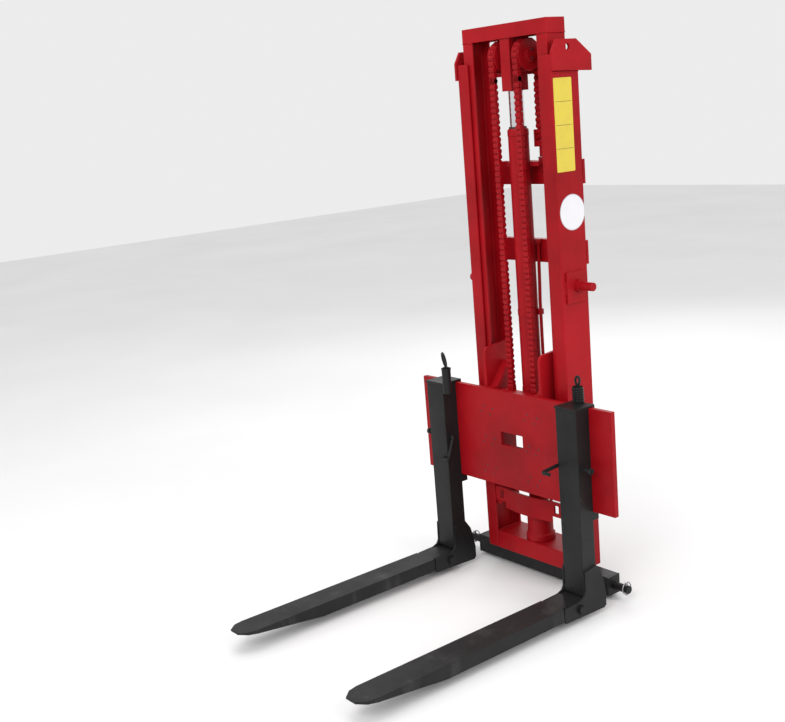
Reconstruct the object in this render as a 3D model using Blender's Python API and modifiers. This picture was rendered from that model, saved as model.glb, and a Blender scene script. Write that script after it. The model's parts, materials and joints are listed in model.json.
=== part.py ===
"""Two-stage lift mast with fork carriage for a tractor's rear linkage.

Metres, +Z up. X runs across the mast and the forks point along -Y. The origin is the
middle of the underside of the mast's base, so the mast is centred on X = 0 and Y = 0.
The carriage hangs on two chains, which run over pulleys on the inner mast.
"""
import math

import bmesh
import bpy
from mathutils import Matrix, Vector

# ---- driving dimensions ------------------------------------------------------------
GAP = 0.0003            # clearance between pieces that touch
MAST_HALF = 0.220       # half width of the outer mast
MAST_DEEP = 0.126       # depth of the outer mast's channels
MAST_TALL = 1.750       # height of the outer mast
OUTER_FLANGE = 0.050    # width of an outer flange
OUTER_WALL = 0.009      # thickness of the outer channel
INNER_HALF = 0.197      # half width of the inner mast
INNER_FRONT = -0.0525   # front and rear faces of the inner mast
INNER_REAR = 0.0335
INNER_FLANGE = 0.047
INNER_WALL = 0.008
INNER_BOTTOM = 0.170    # ends of the inner mast, which stands raised at rest
INNER_TOP = 1.866
TOP_BEAM_TALL = 0.047
BASE_TALL = 0.065       # hollow section across the foot of the mast
BEAM_TALL = 0.080       # cross beams behind the outer uprights
BEAM_UPPER_Z = 1.334
BEAM_LOWER_Z = 1.067
BEAM_REAR = 0.0735
CYL_Y = -0.006          # lift cylinder
CYL_RADIUS = 0.035
CYL_BORE = 0.0262
CYL_TOP = 1.500
ROD_RADIUS = 0.025
ROD_BOTTOM = 0.300
POST_HALF = 0.022       # box post under the top beam, which the rod pushes up
POST_BOTTOM = 1.650
POST_FRONT = -0.047
POST_REAR = 0.0325
PULLEY_Y = -0.005       # chain pulleys
PULLEY_Z = 1.762
PULLEY_PITCH = 0.047    # radius at the chain's middle
CHAIN_X = 0.056
CHAIN_WIDE = 0.023
CHAIN_DEEP = 0.0155
ANCHOR_Z = 1.461        # underside of the fixed clevises
PLATE_HALF = 0.460      # carriage plate
PLATE_FRONT = -0.124
PLATE_THICK = 0.018
PLATE_BOTTOM = 0.2805
PLATE_TOP = 0.6335
CHEEK_X = 0.128         # side plates of the carriage
CHEEK_THICK = 0.012
CHEEK_REAR = 0.022
CHEEK_BOTTOM = 0.345
CHEEK_TOP = 0.785
ROLLER_Z = (0.385, 0.735)
FORK_X = 0.322          # middle of a fork
FORK_WIDE = 0.088
SHANK_FRONT = -0.1865
SHANK_REAR = PLATE_FRONT - GAP
HOOK_TOP = 0.642
HOOK_LAP = 0.003        # how far the hook stands past the shank's sides
LATCH_RADIUS = 0.0165
HEEL_THICK = 0.0075     # heel plates beside the shank and blade
BLADE_TOP = -0.004
BLADE_BOTTOM = -0.050
BLADE_TIP = -1.121
FOLD_Y = -0.214         # heel bolt, on which the blade folds up
FOLD_Z = -0.031
RETAINER_Y = -0.163     # bent rod that holds a folded blade
RETAINER_Z = 0.437
RETAINER_ARM = 0.088    # length of its arm
HITCH_HALF = 0.315      # black lower hitch bar
HITCH_LOW = -0.068
PIN_Y = 0.010           # lower link pins
TOP_LINK_Y = 0.130      # pin of the upper link
TOP_LINK_Z = 0.500
CROSS_BAR_TOP = 0.620   # bar behind the carriage plate, which the chains pull up
CHAIN_FRONT_Y = PULLEY_Y - PULLEY_PITCH
CHAIN_REAR_Y = PULLEY_Y + PULLEY_PITCH
MAST_ROLLER = (0.0, 0.250, 0.0530)      # Y, Z and radius
CARRIAGE_ROLLER = (-0.0095, 0.0340)     # Y and radius
ROLLER_BORE = 0.0093
SHELF_THICK = 0.016     # shelves that hold the chains' threaded rods
CROSS_BAR_REAR = -0.0437
ROD_THREAD = 0.006
CUP_TOP = 0.168         # rim of the cup at the foot of the lift cylinder
HAT_HALF = 0.118        # bulged part of the inner mast's lower plate
BOLT_BORE = 0.0090      # hole of a heel bolt
HEEL_FRONT = 0.076      # radius of a heel plate's front edge about the heel bolt
BLADE_REAR = FOLD_Y - 0.078
EAR = [(-0.067, 1.700), (-0.067, 1.757), (-0.045, 1.795), (0.047, 1.795), (0.116, 1.745),
       (0.116, 1.694)]  # ear on top of an upright, as (Y, Z) points
HEEL = [(-0.215, -0.004), (-0.195, 0.004), (-0.187, 0.018), (-0.185, 0.088), (-0.130, 0.098),
        (-0.106, 0.064), (-0.097, 0.031), (-0.0876, -0.016), (-0.0886, -0.056), (-0.098, -0.064)]

RED = ("paint_red", (0.45, 0.012, 0.016, 1), 0.42, 0.0)
DARK = ("paint_dark", (0.030, 0.030, 0.032, 1), 0.45, 0.0)
BLACK = ("paint_black", (0.010, 0.010, 0.011, 1), 0.5, 0.0)
CHROME = ("chrome_rod", (0.62, 0.63, 0.65, 1), 0.12, 1.0)
STEEL = ("plain_steel", (0.35, 0.35, 0.36, 1), 0.35, 1.0)


# ---- helpers -----------------------------------------------------------------------
def clear_scene():
    for obj in list(bpy.data.objects):
        bpy.data.objects.remove(obj)


def collection(name):
    made = bpy.data.collections.new(name)
    bpy.context.scene.collection.children.link(made)
    return made


def material(spec):
    name, colour, roughness, metallic = spec
    if name in bpy.data.materials:
        return bpy.data.materials[name]
    made = bpy.data.materials.new(name)
    made.use_nodes = True
    shader = made.node_tree.nodes["Principled BSDF"]
    shader.inputs["Base Color"].default_value = colour
    shader.inputs["Roughness"].default_value = roughness
    shader.inputs["Metallic"].default_value = metallic
    made.diffuse_color = colour
    return made


def add_object(name, mesh, spec):
    obj = bpy.data.objects.new(name, mesh)
    PARTS.objects.link(obj)
    if spec:
        mesh.materials.append(material(spec))
    return obj


def from_bmesh(name, bm, spec):
    bmesh.ops.recalc_face_normals(bm, faces=bm.faces)
    mesh = bpy.data.meshes.new(name)
    bm.to_mesh(mesh)
    bm.free()
    return add_object(name, mesh, spec)


def box(name, low, high, spec=None):
    low, high = Vector(low), Vector(high)
    bm = bmesh.new()
    bmesh.ops.create_cube(bm, size=1.0)
    size = high - low
    for vert in bm.verts:
        vert.co = Vector(a * b for a, b in zip(vert.co, size)) + (low + high) / 2
    return from_bmesh(name, bm, spec)


def cylinder(name, start, end, radius, spec=None, sides=24):
    start, end = Vector(start), Vector(end)
    run = end - start
    turn = Vector((0, 0, 1)).rotation_difference(run).to_matrix().to_4x4()
    bm = bmesh.new()
    bmesh.ops.create_cone(
        bm, cap_ends=True, segments=sides, radius1=radius, radius2=radius, depth=run.length,
        matrix=Matrix.Translation((start + end) / 2) @ turn)
    obj = from_bmesh(name, bm, spec)
    obj.data.shade_smooth()
    obj.data.set_sharp_from_angle(angle=math.radians(40))
    return obj


def curve_to_mesh(name, curve_object, spec):
    """The mesh of a curve object, with its caps welded on."""
    bpy.context.view_layer.update()
    graph = bpy.context.evaluated_depsgraph_get()
    mesh = bpy.data.meshes.new_from_object(curve_object.evaluated_get(graph))
    matrix = curve_object.matrix_world.copy()
    bpy.data.objects.remove(curve_object)
    bm = bmesh.new()
    bm.from_mesh(mesh)
    bpy.data.meshes.remove(mesh)
    bmesh.ops.remove_doubles(bm, verts=bm.verts, dist=0.00002)
    obj = from_bmesh(name, bm, spec)
    obj.matrix_world = matrix
    return obj


AXES = {
    "X": Matrix(((0, 0, 1, 0), (1, 0, 0, 0), (0, 1, 0, 0), (0, 0, 0, 1))),
    "Z": Matrix.Identity(4),
}


def flat(name, outlines, axis, low, high, spec=None):
    """A flat shape with its thickness from low to high along an axis.

    The outlines are points in the (Y, Z) plane for X and in (X, Y) for Z.
    Every outline after the first is a hole.
    """
    curve = bpy.data.curves.new(name + "_outline", "CURVE")
    curve.dimensions = "2D"
    curve.fill_mode = "BOTH"
    curve.extrude = (high - low) / 2
    for points in outlines:
        spline = curve.splines.new("POLY")
        spline.points.add(len(points) - 1)
        for point, (u, v) in zip(spline.points, points):
            point.co = (u, v, 0, 1)
        spline.use_cyclic_u = True
    source = bpy.data.objects.new(name + "_outline", curve)
    PARTS.objects.link(source)
    source.matrix_world = AXES[axis] @ Matrix.Translation((0, 0, (low + high) / 2))
    return curve_to_mesh(name, source, spec)


def circle(u, v, radius, sides=20):
    return [(u + radius * math.cos(2 * math.pi * i / sides),
             v + radius * math.sin(2 * math.pi * i / sides)) for i in range(sides)]


def rounded(points, radius, steps=4):
    """The outline with each corner turned into an arc of that radius."""
    made = []
    count = len(points)
    for index in range(count):
        here = Vector(points[index])
        before = (Vector(points[index - 1]) - here).normalized()
        after = (Vector(points[(index + 1) % count]) - here).normalized()
        half = before.angle(after) / 2
        reach = radius / math.tan(half)
        centre = here + (before + after).normalized() * (radius / math.sin(half))
        start = here + before * reach - centre
        end = here + after * reach - centre
        sweep = start.angle_signed(end)
        for step in range(steps + 1):
            angle = -sweep * step / steps
            turned = (start.x * math.cos(angle) - start.y * math.sin(angle),
                      start.x * math.sin(angle) + start.y * math.cos(angle))
            made.append((centre.x + turned[0], centre.y + turned[1]))
    return made


def turned(name, profile, centre, spec, sides=32):
    """A solid turned about the vertical line through centre, from (radius, height) points."""
    mesh = bpy.data.meshes.new(name)
    mesh.from_pydata([(r, 0, z) for r, z in profile],
                     [(i, i + 1) for i in range(len(profile) - 1)], [])
    obj = add_object(name, mesh, spec)
    obj.location = (centre[0], centre[1], 0)
    screw = obj.modifiers.new("Turn", "SCREW")
    screw.steps = sides
    screw.render_steps = sides
    screw.use_merge_vertices = True
    screw.merge_threshold = 0.0001
    screw.use_smooth_shade = True
    return obj


def wire(name, points, radius, spec, cyclic=False, resolution=2):
    curve = bpy.data.curves.new(name + "_path", "CURVE")
    curve.dimensions = "3D"
    curve.bevel_depth = radius
    curve.bevel_resolution = resolution
    curve.use_fill_caps = True
    spline = curve.splines.new("POLY")
    spline.points.add(len(points) - 1)
    for point, place in zip(spline.points, points):
        point.co = (*place, 1)
    spline.use_cyclic_u = cyclic
    source = bpy.data.objects.new(name + "_path", curve)
    PARTS.objects.link(source)
    obj = curve_to_mesh(name, source, spec)
    obj.data.shade_smooth()
    obj.data.set_sharp_from_angle(angle=math.radians(50))
    return obj


def combine(obj, others, operation):
    """Booleans on obj. The other shapes become hidden helpers."""
    for other in others:
        PARTS.objects.unlink(other)
        CUTTERS.objects.link(other)
        other.hide_render = True
        other.display_type = "WIRE"
        other.name = f"{obj.name}_{operation.lower()}_{len(obj.modifiers)}"
        modifier = obj.modifiers.new(operation.title(), "BOOLEAN")
        modifier.operation = operation
        modifier.object = other
        modifier.solver = "EXACT"
    return obj


def join(obj, *others):
    return combine(obj, others, "UNION")


def cut(obj, *others):
    return combine(obj, others, "DIFFERENCE")


def hole(axis, centre, radius, half=0.05, sides=20):
    """A cutter along an axis through a point."""
    step = {"X": Vector((1, 0, 0)), "Y": Vector((0, 1, 0)), "Z": Vector((0, 0, 1))}[axis] * half
    centre = Vector(centre)
    return cylinder("hole", centre - step, centre + step, radius, sides=sides)


def pivot(name, place, objects):
    """An empty on a joint's axis, which the moving pieces hang on."""
    empty = bpy.data.objects.new(name, None)
    empty.empty_display_size = 0.05
    empty.location = place
    PARTS.objects.link(empty)
    bpy.context.view_layer.update()
    for obj in objects:
        world = obj.matrix_world.copy()
        obj.parent = empty
        obj.matrix_parent_inverse = empty.matrix_world.inverted()
        obj.matrix_world = world
    return empty


# ---- outer mast --------------------------------------------------------------------
def channel_outline(side, half, flange, wall, front, rear):
    """A channel that opens towards X = 0, as (X, Y) points."""
    outer, inner, lip = side * half, side * (half - wall), side * (half - flange)
    return [(outer, front), (outer, rear), (lip, rear), (lip, rear - wall),
            (inner, rear - wall), (inner, front + wall), (lip, front + wall), (lip, front)]


def outer_mast():
    half_deep = MAST_DEEP / 2
    for label, side in (("left", -1), ("right", 1)):
        face = side * MAST_HALF
        outline = channel_outline(side, MAST_HALF, OUTER_FLANGE, OUTER_WALL, -half_deep, half_deep)
        flat(f"outer_upright_{label}", [outline], "Z", 0, MAST_TALL, RED)
        ends = sorted((face + side * GAP, face + side * 0.010))
        flat(f"ear_{label}", [EAR, circle(0.0055, 1.771, 0.010)], "X", *ends, RED)
        side_pin(label, side)
    wall = 0.007
    inside = MAST_HALF - OUTER_FLANGE - GAP
    tube = [(-half_deep, 0), (half_deep, 0), (half_deep, BASE_TALL), (-half_deep, BASE_TALL)]
    hollow = [(-half_deep + wall, wall), (half_deep - wall, wall),
              (half_deep - wall, BASE_TALL - wall), (-half_deep + wall, BASE_TALL - wall)]
    flat("base_section", [tube, hollow], "X", -inside, inside, RED)
    cross_beam("lower", BEAM_LOWER_Z)
    hold_anchors(cross_beam("upper", BEAM_UPPER_Z))
    hitch_bar()
    link_pins()
    top_link_bracket()
    top_link_pin()


def side_pin(label, side):
    """Doubling plate on an upright's outer face, with a stub pin."""
    start, thick, middle, reach = side * (MAST_HALF + GAP), 0.0067, (0.009, 1.003), 0.072
    plate = [(-0.045, 0.948), (0.040, 0.948), (0.040, 1.052), (-0.045, 1.052)]
    doubler = flat(f"side_pin_{label}", [plate], "X", *sorted((start, start + side * thick)), RED)
    join(doubler, cylinder("stub", (start + side * thick / 2, *middle),
                           (side * (MAST_HALF + reach), *middle), 0.0145))


def cross_beam(label, low):
    """Box beam across the rear of the uprights, with a deeper part between them."""
    inside = MAST_HALF - OUTER_FLANGE - GAP
    top, step = low + BEAM_TALL, 0.002
    behind = MAST_DEEP / 2 + GAP
    beam = box(f"cross_beam_{label}", (-MAST_HALF, behind, low), (MAST_HALF, BEAM_REAR, top), RED)
    return join(beam, box("body", (-inside, 0.0435, low), (inside, BEAM_REAR - step, top)))


def hold_anchors(beam):
    """Shelves on the upper beam with the holes for the chains' threaded rods."""
    top, half, thick = BEAM_UPPER_Z + BEAM_TALL, 0.020, SHELF_THICK
    for x in (-CHAIN_X, CHAIN_X):
        join(beam, box("shelf", (x - half, 0.006, top - thick), (x + half, 0.050, top)))
    for x in (-CHAIN_X, CHAIN_X):
        cut(beam, hole("Z", (x, CHAIN_REAR_Y, top), ROD_THREAD + 0.0006, 0.040, 12))


def hitch_bar():
    front, rear, wall, deep = -0.020, 0.040, 0.008, 0.065
    bar = box("hitch_bar", (-HITCH_HALF, front, HITCH_LOW), (HITCH_HALF, rear, -GAP), BLACK)
    for side in (-1, 1):
        ends = sorted((side * (HITCH_HALF - deep), side * (HITCH_HALF + deep)))
        cut(bar, box("end", (ends[0], front + wall, HITCH_LOW + wall), (ends[1], rear - wall, -wall)))


def link_pins():
    """Lower link pins, each with a flange that closes the bar's end."""
    thick = 0.008
    middle = (PIN_Y, (HITCH_LOW - GAP) / 2)
    for label, side in (("left", -1), ("right", 1)):
        start = side * (HITCH_HALF + GAP)
        ends = sorted((start, start + side * thick))
        flange = box(f"link_pin_{label}", (ends[0], -0.020, HITCH_LOW), (ends[1], 0.040, -GAP), BLACK)
        join(flange, cylinder("pin", (start + side * thick / 2, *middle),
                              (start + side * 0.075, *middle), 0.014))
        cut(flange, hole("Z", (start + side * 0.064, *middle), 0.0055, 0.03, 12))


def top_link_bracket():
    """Plate across the rear of the uprights with two lugs for the upper link."""
    behind, thick, half_tall = MAST_DEEP / 2 + GAP, 0.012, 0.060
    plate = box("top_link_bracket", (-MAST_HALF, behind, TOP_LINK_Z - half_tall),
                (MAST_HALF, behind + thick, TOP_LINK_Z + half_tall), RED)
    root, nose = behind + 0.005, TOP_LINK_Y + 0.026
    lug = [(root, TOP_LINK_Z - 0.050), (nose, TOP_LINK_Z - 0.018),
           (nose, TOP_LINK_Z + 0.018), (root, TOP_LINK_Z + 0.050)]
    for side in (-1, 1):
        join(plate, flat("lug", [lug], "X", *sorted((side * 0.028, side * 0.040))))
    cut(plate, hole("X", (0, TOP_LINK_Y, TOP_LINK_Z), 0.0100, 0.06))


def top_link_pin():
    place = (TOP_LINK_Y, TOP_LINK_Z)
    pin = cylinder("top_link_pin", (-0.056, *place), (0.044, *place), 0.0095, STEEL)
    join(pin, cylinder("head", (0.0405, *place), (0.047, *place), 0.016))


# ---- lift cylinder -----------------------------------------------------------------
def lift_cylinder():
    """Foot with its cup, tube, gland and chrome rod."""
    place, foot_low, foot_top = (0, CYL_Y), BASE_TALL + GAP, 0.086
    cup, inside = 0.046, CYL_RADIUS + GAP
    turned("cylinder_foot", [(inside, CUP_TOP), (cup, CUP_TOP), (cup, foot_top + 0.006),
                             (0.052, foot_top), (0.052, foot_low), (0, foot_low), (0, foot_top),
                             (inside, foot_top), (inside, CUP_TOP)], place, RED)
    tube_low, closed = foot_top + GAP, 0.030
    turned("cylinder_tube", [(CYL_BORE, CYL_TOP), (CYL_RADIUS, CYL_TOP), (CYL_RADIUS, tube_low),
                             (0, tube_low), (0, tube_low + closed), (CYL_BORE, tube_low + closed),
                             (CYL_BORE, CYL_TOP)], place, RED)
    low, bore, rim = CYL_TOP + GAP, ROD_RADIUS + GAP, CYL_RADIUS + 0.001
    turned("cylinder_gland", [(bore, low + 0.026), (rim - 0.004, low + 0.026), (rim, low + 0.020),
                              (rim, low), (bore, low), (bore, low + 0.026)], place, RED)
    cylinder("cylinder_rod", (*place, ROD_BOTTOM), (*place, POST_BOTTOM - GAP), ROD_RADIUS, CHROME, 32)


def hydraulic_pipe():
    """Feed pipe beside the tube, from a fitting on the cup to one behind the tube."""
    x, y, radius = 0.042, 0.012, 0.0058
    route = [(x, y, CUP_TOP + 0.010), (x, y, 0.940), (0.039, 0.018, 1.010), (0.033, 0.026, 1.080),
             (0.029, 0.0305, 1.140)]
    pipe = wire("hydraulic_pipe", route, radius, RED)
    outward = (Vector(route[-1][:2]) - Vector((0, CYL_Y))).normalized()
    seat, end = CYL_RADIUS + 0.0012, 0.054
    points = [(*(outward * reach + Vector((0, CYL_Y))), 1.140) for reach in (seat, end)]
    join(pipe, cylinder("lower_fitting", (x, y, CUP_TOP + GAP), (x, y, CUP_TOP + 0.024), 0.0085, sides=6),
         cylinder("upper_fitting", *points, 0.009, sides=12))


# ---- chains ------------------------------------------------------------------------
def fixed_chains():
    """Rear runs, each with its clevis and threaded rod in the upper cross beam."""
    top, y, low = BEAM_UPPER_Z + BEAM_TALL, CHAIN_REAR_Y, ANCHOR_Z
    half, deep, tall, slot, floor, sunk = 0.019, 0.013, 0.057, 0.0125, 0.020, 0.036
    for label, x in (("left", -CHAIN_X), ("right", CHAIN_X)):
        corner = (x - half, y - deep, low)
        clevis = box(f"chain_anchor_{label}", corner, (x + half, y + deep, low + tall), RED)
        cut(clevis, box("slot", (x - slot, y - 0.02, low + floor), (x + slot, y + 0.02, low + 0.07)))
        join(clevis, cylinder("rod", (x, y, top - sunk), (x, y, low + 0.005), ROD_THREAD, sides=12),
             cylinder("nut", (x, y, top + GAP), (x, y, top + 0.011), 0.011, sides=6))
        chain_run(f"chain_rear_{label}", x, y, low + floor + 0.0005)


def carriage_chains():
    """Front runs, which end on the bar behind the carriage plate."""
    for label, x in (("left", -CHAIN_X), ("right", CHAIN_X)):
        chain_run(f"chain_front_{label}", x, CHAIN_FRONT_Y, CROSS_BAR_TOP + GAP)


def chain_run(name, x, y, low):
    """A straight run up to the pulley's middle, as a plain bar for the links."""
    box(name, (x - CHAIN_WIDE / 2, y - CHAIN_DEEP / 2, low),
        (x + CHAIN_WIDE / 2, y + CHAIN_DEEP / 2, PULLEY_Z), RED)


# ---- inner mast --------------------------------------------------------------------
def inner_mast():
    beam_low = INNER_TOP - TOP_BEAM_TALL
    for label, side in (("left", -1), ("right", 1)):
        outline = channel_outline(side, INNER_HALF, INNER_FLANGE, INNER_WALL, INNER_FRONT, INNER_REAR)
        flat(f"inner_upright_{label}", [outline], "Z", INNER_BOTTOM, beam_low - GAP, RED)
    wall = 0.010
    beam = [(INNER_FRONT, beam_low), (INNER_FRONT, INNER_TOP), (INNER_REAR, INNER_TOP),
            (INNER_REAR, beam_low), (INNER_REAR - wall, beam_low), (INNER_REAR - wall, INNER_TOP - wall),
            (INNER_FRONT + wall, INNER_TOP - wall), (INNER_FRONT + wall, beam_low)]
    top_beam = flat("inner_top_beam", [beam], "X", -INNER_HALF, INNER_HALF, RED)
    for side in (-1, 1):
        ends = sorted((side * INNER_HALF, side * (INNER_HALF - INNER_WALL)))
        join(top_beam, box("end", (ends[0], INNER_FRONT, beam_low), (ends[1], INNER_REAR, INNER_TOP)))
    rear_plate()
    lower_plate()
    crosshead(beam_low, wall)
    reach = CHAIN_X + CHAIN_WIDE
    cylinder("pulley_axle", (-reach, PULLEY_Y, PULLEY_Z), (reach, PULLEY_Y, PULLEY_Z), 0.0125, STEEL)


def rear_plate():
    """Cross plate at the rear, set back behind the pulleys, with bolts in its ends."""
    front, back, thick = INNER_REAR + GAP, 0.0515, 0.008
    outline = [(-0.190, front), (-0.105, front), (-0.087, back), (0.087, back), (0.105, front),
               (0.190, front), (0.190, front + thick), (0.109, front + thick), (0.091, back + thick),
               (-0.091, back + thick), (-0.109, front + thick), (-0.190, front + thick)]
    plate = flat("inner_rear_plate", [outline], "Z", 1.700, 1.792, RED)
    for z in (1.727, 1.765):
        for x in (-0.128, 0.128):
            join(plate, cylinder("bolt", (x, front + thick / 2, z), (x, front - 0.007, z), 0.009, sides=6))


def crosshead(beam_low, wall):
    """Box post under the top beam, notched for the beam's flanges and bored for the axle."""
    post = box("crosshead", (-POST_HALF, POST_FRONT, POST_BOTTOM),
               (POST_HALF, POST_REAR, INNER_TOP - wall - GAP), RED)
    wide, low = 0.05, beam_low - GAP
    cut(post, hole("X", (0, PULLEY_Y, PULLEY_Z), 0.0130, wide, 24),
        box("front_notch", (-wide, INNER_FRONT - 0.01, low), (wide, INNER_FRONT + wall + GAP, INNER_TOP)),
        box("rear_notch", (-wide, INNER_REAR - wall - GAP, low), (wide, INNER_REAR + 0.01, INNER_TOP)))


def lower_plate():
    """Cross plate at the foot of the inner mast: a bulge round the cylinder and slotted ends."""
    low, high, back, thick, bulge, steps = INNER_BOTTOM - 0.004, 0.242, INNER_FRONT - GAP, 0.008, 0.015, 12
    across = [HAT_HALF * (2 * i / steps - 1) for i in range(steps + 1)]
    front = [(x, back - thick - bulge * math.cos(math.pi / 2 * x / HAT_HALF)) for x in across]
    inner = [(x * 0.93, y + thick) for x, y in reversed(front)]
    plate = flat("inner_lower_plate", [front + inner], "Z", low, high, RED)
    tall, slot = 0.022, 0.012
    for side in (-1, 1):
        ends = sorted((side * (HAT_HALF - 0.006), side * 0.167))
        join(plate, box("end", (ends[0], back - thick, low + tall), (ends[1], back, high)))
        ends = sorted((side * (HAT_HALF + 0.008), side * 0.147))
        slot_low, slot_high = low + tall + slot, high - slot
        cut(plate, box("slot", (ends[0], back - 0.02, slot_low), (ends[1], back + 0.01, slot_high)))


def pulleys():
    hub, rim, groove = 0.0128, PULLEY_PITCH + 0.006, PULLEY_PITCH - CHAIN_DEEP / 2 - GAP
    half, flange, boss = CHAIN_WIDE / 2 + 0.0005, 0.004, 0.006
    profile = [(hub, half + boss), (0.022, half + boss), (0.024, half + flange), (rim, half + flange),
               (rim, half), (groove, half - 0.0004), (groove, -half + 0.0004), (rim, -half),
               (rim, -half - flange), (0.024, -half - flange), (0.022, -half - boss),
               (hub, -half - boss), (hub, half + boss)]
    made = []
    for label, x in (("left", -CHAIN_X), ("right", CHAIN_X)):
        wheel = turned(f"chain_pulley_{label}", profile, (0, 0), RED)
        wheel.matrix_world = (Matrix.Translation((x, PULLEY_Y, PULLEY_Z))
                              @ Matrix.Rotation(math.pi / 2, 4, "Y"))
        made.append(wheel)
    return made


def roller(name, x_low, x_high, y, z, radius):
    outline = [circle(y, z, radius, 28), circle(y, z, ROLLER_BORE, 16)]
    made = flat(name, outline, "X", *sorted((x_low, x_high)), STEEL)
    made.data.shade_smooth()
    made.data.set_sharp_from_angle(angle=math.radians(40))
    return made


def mast_rollers():
    return [roller(f"mast_roller_{label}", side * (INNER_HALF + 0.0015),
                   side * (MAST_HALF - OUTER_WALL - 0.001), *MAST_ROLLER)
            for label, side in (("left", -1), ("right", 1))]


# ---- carriage ----------------------------------------------------------------------
def carriage():
    """Plate with its window, side plates with roller stubs, and the bar that the chains pull."""
    plate = box("carriage_plate", (-PLATE_HALF, PLATE_FRONT, PLATE_BOTTOM),
                (PLATE_HALF, PLATE_FRONT + PLATE_THICK, PLATE_TOP), RED)
    cut(plate, box("window", (-0.053, PLATE_FRONT - 0.01, 0.436), (0.053, PLATE_FRONT + 0.03, 0.483)))
    behind = PLATE_FRONT + PLATE_THICK + GAP
    outline = rounded([(CHEEK_REAR, CHEEK_BOTTOM), (CHEEK_REAR, CHEEK_TOP),
                       (behind, CHEEK_TOP - 0.012), (behind, CHEEK_BOTTOM)], 0.022)
    for label, side in (("left", -1), ("right", 1)):
        ends = sorted((side * CHEEK_X, side * (CHEEK_X + CHEEK_THICK)))
        cheek = flat(f"carriage_cheek_{label}", [outline], "X", *ends, RED)
        for z in ROLLER_Z:
            y = CARRIAGE_ROLLER[0]
            stub = cylinder("stub", (side * (CHEEK_X + 0.004), y, z), (side * 0.1845, y, z), 0.009, sides=16)
            join(cheek, stub)
        inside = sorted((side * (CHEEK_X + 0.001), side * (CHEEK_X - 0.030)))
        join(cheek, flat("gusset", [gusset_outline(behind)], "X", *inside))
    box("carriage_cross_bar", (-CHEEK_X + GAP, behind, CROSS_BAR_TOP - 0.060),
        (CHEEK_X - GAP, CROSS_BAR_REAR, CROSS_BAR_TOP), RED)


def gusset_outline(front):
    """Sloping strap from the carriage plate's top edge up the cheek, as (Y, Z) points."""
    low, foot, nose, rear, high, thick = CROSS_BAR_TOP + GAP, 0.634, -0.086, -0.018, 0.716, 0.012
    return [(front, low), (-0.074, low), (rear, high - thick), (rear, high), (nose, foot), (front, foot)]


def carriage_rollers(height, z):
    y, radius = CARRIAGE_ROLLER
    return [roller(f"carriage_roller_{height}_{label}", side * 0.1450, side * 0.1835, y, z, radius)
            for label, side in (("left", -1), ("right", 1))]


# ---- forks -------------------------------------------------------------------------
def heel_outline():
    """Heel plate as (Y, Z) points. Its front edge is an arc about the heel bolt."""
    steps, low, high = 6, math.radians(-20.8), math.radians(19.2)
    sweep = [low + (high - low) * i / steps for i in range(steps + 1)]
    return HEEL + [(FOLD_Y - HEEL_FRONT * math.cos(t), FOLD_Z + HEEL_FRONT * math.sin(t)) for t in sweep]


def fork(label, x):
    """Shank with its hook and keeper, heel plates and heel bolt."""
    half = FORK_WIDE / 2
    shank = box(f"fork_shank_{label}", (x - half, SHANK_FRONT, 0.0), (x + half, SHANK_REAR, PLATE_TOP), DARK)
    front, inside = SHANK_FRONT - 0.003, PLATE_FRONT + PLATE_THICK + 0.0008
    rear, hook_low, under = inside + 0.0077, PLATE_TOP + 0.0007, PLATE_BOTTOM - 0.0008
    hook = [(front, hook_low), (inside, hook_low), (inside, 0.600), (rear, 0.600),
            (rear, HOOK_TOP), (front, HOOK_TOP)]
    root, keeper_low, keeper_top = SHANK_REAR - 0.01, PLATE_BOTTOM - 0.030, PLATE_BOTTOM + 0.018
    keeper = [(root, keeper_low), (rear, keeper_low), (rear, keeper_top), (inside, keeper_top),
              (inside, under), (root, under)]
    join(shank, box("neck", (x - half, SHANK_FRONT, 0.630), (x + half, SHANK_REAR, hook_low + 0.0003)),
         flat("hook", [hook], "X", x - half - HOOK_LAP, x + half + HOOK_LAP),
         flat("keeper", [keeper], "X", x - half, x + half))
    cut(shank, hole("X", (x, RETAINER_Y, RETAINER_Z), 0.0070, 0.07, 16))
    for place, side in (("left", -1), ("right", 1)):
        ends = sorted((x + side * (half + GAP), x + side * (half + GAP + HEEL_THICK)))
        heel = [heel_outline(), circle(FOLD_Y, FOLD_Z, BOLT_BORE, 16)]
        flat(f"fork_heel_{label}_{place}", heel, "X", *ends, DARK)
    heel_bolt(label, x)


def heel_bolt(label, x):
    """Bolt through the heel plates and the blade, with its head and nut."""
    reach = FORK_WIDE / 2 + HEEL_THICK + 2 * GAP
    place, head, nut, across = (FOLD_Y, FOLD_Z), 0.011, 0.013, 0.015
    bolt = cylinder(f"heel_bolt_{label}", (x - reach - 0.018, *place), (x + reach + head / 2, *place),
                    0.0085, DARK, 16)
    join(bolt, cylinder("head", (x + reach, *place), (x + reach + head, *place), across, sides=6),
         cylinder("nut", (x - reach - nut, *place), (x - reach, *place), across, sides=6))


def latch(label, place, ends, loop_size, lean):
    """Upright tube with a sliding pin, which a wire loop lifts. The loop leans along X."""
    (x, y), (low, high), (wide, tall) = place, ends, loop_size
    tube = flat(f"latch_tube_{label}", [circle(x, y, LATCH_RADIUS, 24), circle(x, y, 0.0105, 16)],
                "Z", low, high, DARK)
    tube.data.shade_smooth()
    tube.data.set_sharp_from_angle(angle=math.radians(40))
    proud, sides = 0.004, 12
    pin = cylinder(f"latch_pin_{label}", (x, y, low + proud), (x, y, high + proud), 0.0100, DARK, 16)
    turns = [2 * math.pi * i / sides for i in range(sides)]
    loop = [(x + lean * (1 - math.cos(t)) / 2 + wide * math.sin(t), y,
             high + proud + 0.002 + tall * (1 - math.cos(t))) for t in turns]
    join(pin, wire("loop", loop, 0.0042, None, cyclic=True))


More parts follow.
